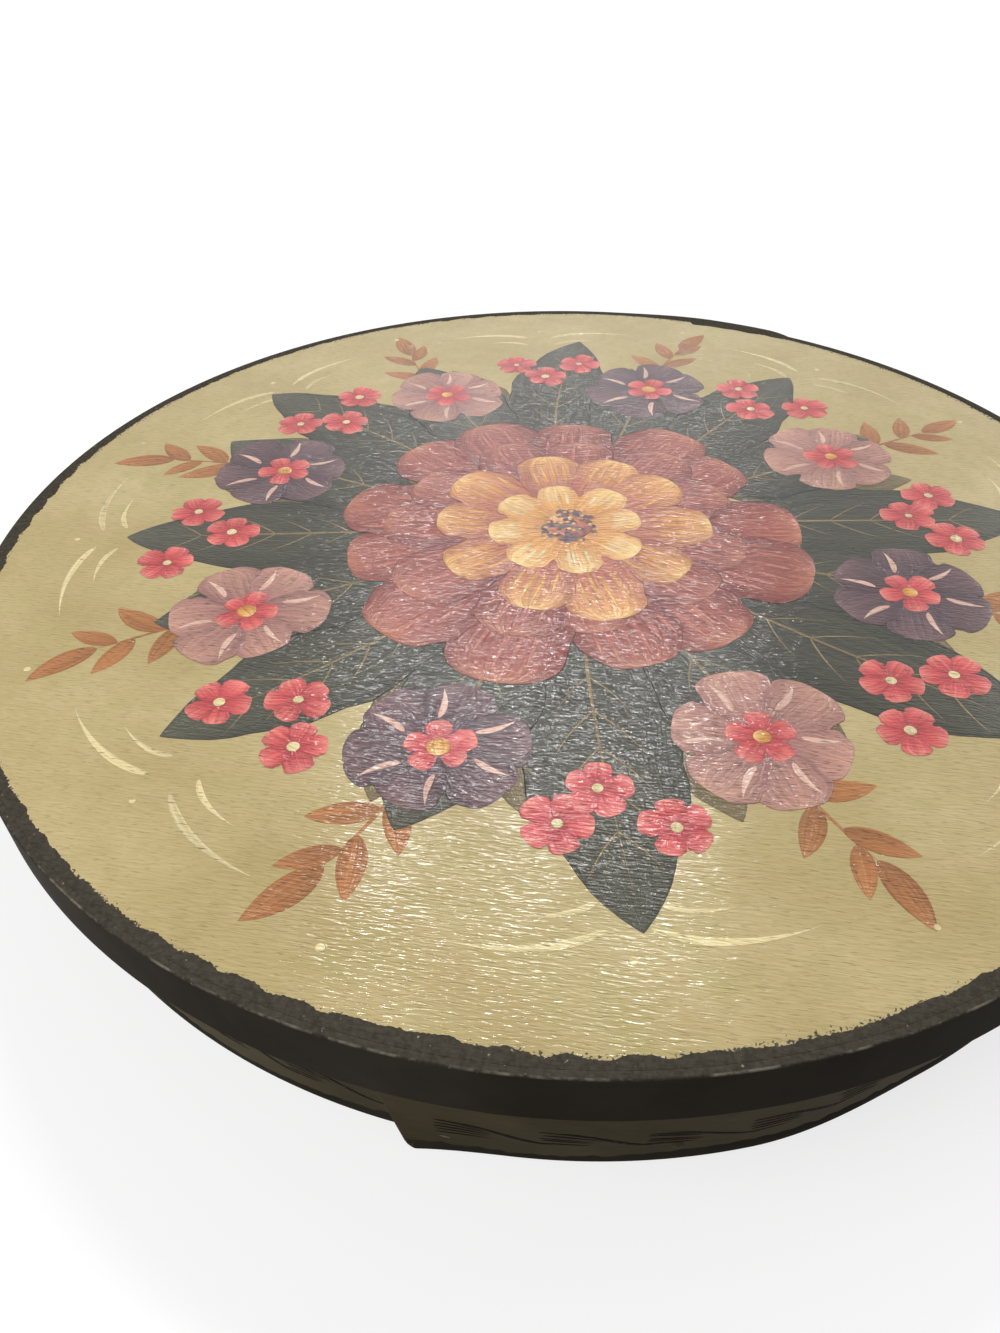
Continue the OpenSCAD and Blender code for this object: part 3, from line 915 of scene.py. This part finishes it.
def floor():
    """A wide pale sheet under the box, white where it is seen but giving back less light than white would."""
    half = 6.0
    corners = ((-half, -half, 0), (half, -half, 0), (half, half, 0), (-half, half, 0))
    mesh = bpy.data.meshes.new("floor")
    mesh.from_pydata(corners, [], [(0, 1, 2, 3)])
    material, tree = new_material("pale_sheet")
    gathering = add(tree, "BsdfDiffuse", {"Color": "#7c7c7c"})
    shaded = add(tree, "BsdfDiffuse", {"Color": "#949494"})
    glow = add(tree, "Emission", {"Color": "#ffffff", "Strength": 0.74})
    bright = add(tree, "AddShader", (shaded, glow))
    sheet = add(tree, "MixShader", (seen_directly(tree), gathering, bright))
    add(tree, "OutputMaterial", {"Surface": sheet})
    mesh.materials.append(material)
    sheet_object = bpy.data.objects.new("floor", mesh)
    bpy.context.scene.collection.objects.link(sheet_object)


def sky():
    """Soft white light from overhead and behind, weaker from the front, and plain white where it is seen."""
    world = bpy.data.worlds.new("studio")
    world.use_nodes = True
    tree = world.node_tree
    tree.nodes.clear()
    direction = add(tree, "TexCoord", output="Generated")
    brightest = (-0.42, 0.28, 0.86)
    lean = add(tree, "VectorMath", (direction, brightest), "Value", operation="DOT_PRODUCT")
    gathered = add(tree, "MapRange", (lean, -0.3, 1.0, 0.195, 0.443))
    strength = add(tree, "MapRange", (seen_directly(tree), 0.0, 1.0, gathered, 1.0))
    glow = add(tree, "Background", {"Color": "#ffffff", "Strength": strength})
    add(tree, "OutputWorld", {"Surface": glow})
    bpy.context.scene.world = world


def hang(light, azimuth, elevation, away):
    """Hangs a light in a direction in degrees and at a distance, facing the box."""
    az, el = math.radians(azimuth), math.radians(elevation)
    toward = Vector((math.cos(el) * math.cos(az), math.cos(el) * math.sin(az), math.sin(el)))
    lamp_object = bpy.data.objects.new(light.name, light)
    lamp_object.location = away * toward
    lamp_object.rotation_euler = toward.to_track_quat("Z", "Y").to_euler()
    bpy.context.scene.collection.objects.link(lamp_object)


def window(name, azimuth, elevation, spread, strength):
    """Even light from a far window that is spread over an angle."""
    light = bpy.data.lights.new(name, "SUN")
    light.angle = math.radians(spread)
    light.energy = strength
    hang(light, azimuth, elevation, 1.0)


def near_lamp(name, azimuth, elevation, away, size, watts):
    """Soft square lamp close by, which falls off across the lid."""
    light = bpy.data.lights.new(name, "AREA")
    light.size = size
    light.energy = watts
    hang(light, azimuth, elevation, away)


def turned(axis, degrees):
    """Turn of a camera's own axes (right, down, ahead) about one of them."""
    i, j = ((1, 2), (0, 2), (0, 1))[axis]
    c, s = math.cos(math.radians(degrees)), math.sin(math.radians(degrees))
    turn = np.eye(3)
    turn[i, i], turn[i, j], turn[j, i], turn[j, j] = c, -s, s, c
    return turn


def photo_camera():
    """Camera at the photograph's place: in front of and above the lid, turned by yaw, pitch and roll."""
    rise = math.radians(CAMERA_RISE)
    place = CAMERA_AWAY * RIM_R * np.array([0, -math.cos(rise), math.sin(rise)])
    ahead = -place / np.linalg.norm(place)
    right = np.array([1.0, 0, 0])
    axes = np.array([right, -np.cross(right, ahead), ahead])
    right, down, ahead = turned(2, CAMERA_ROLL) @ turned(0, CAMERA_PITCH) @ turned(1, CAMERA_YAW) @ axes
    camera = bpy.data.cameras.new("camera")
    camera.sensor_width = 36
    camera.lens = FOCAL_PX * camera.sensor_width / max(PHOTO_PX)
    camera.clip_start = 0.01
    camera_object = bpy.data.objects.new("camera", camera)
    frame_of = Matrix(np.column_stack([right, -down, -ahead]).tolist()).to_4x4()
    camera_object.matrix_world = Matrix.Translation(Vector(place) + Vector((0, 0, LID_TOP))) @ frame_of
    bpy.context.scene.collection.objects.link(camera_object)
    bpy.context.scene.camera = camera_object


floor()
sky()
for pane, azimuth in enumerate((81, 92, 103)):
    window(f"back_window_{pane}", azimuth, elevation=45, spread=6, strength=0.66)
window("right_window", azimuth=42, elevation=20, spread=40, strength=1.2)
near_lamp("left_lamp", azimuth=213, elevation=39, away=0.9, size=0.5, watts=2.8)
photo_camera()
bpy.context.scene.view_settings.view_transform = "Standard"
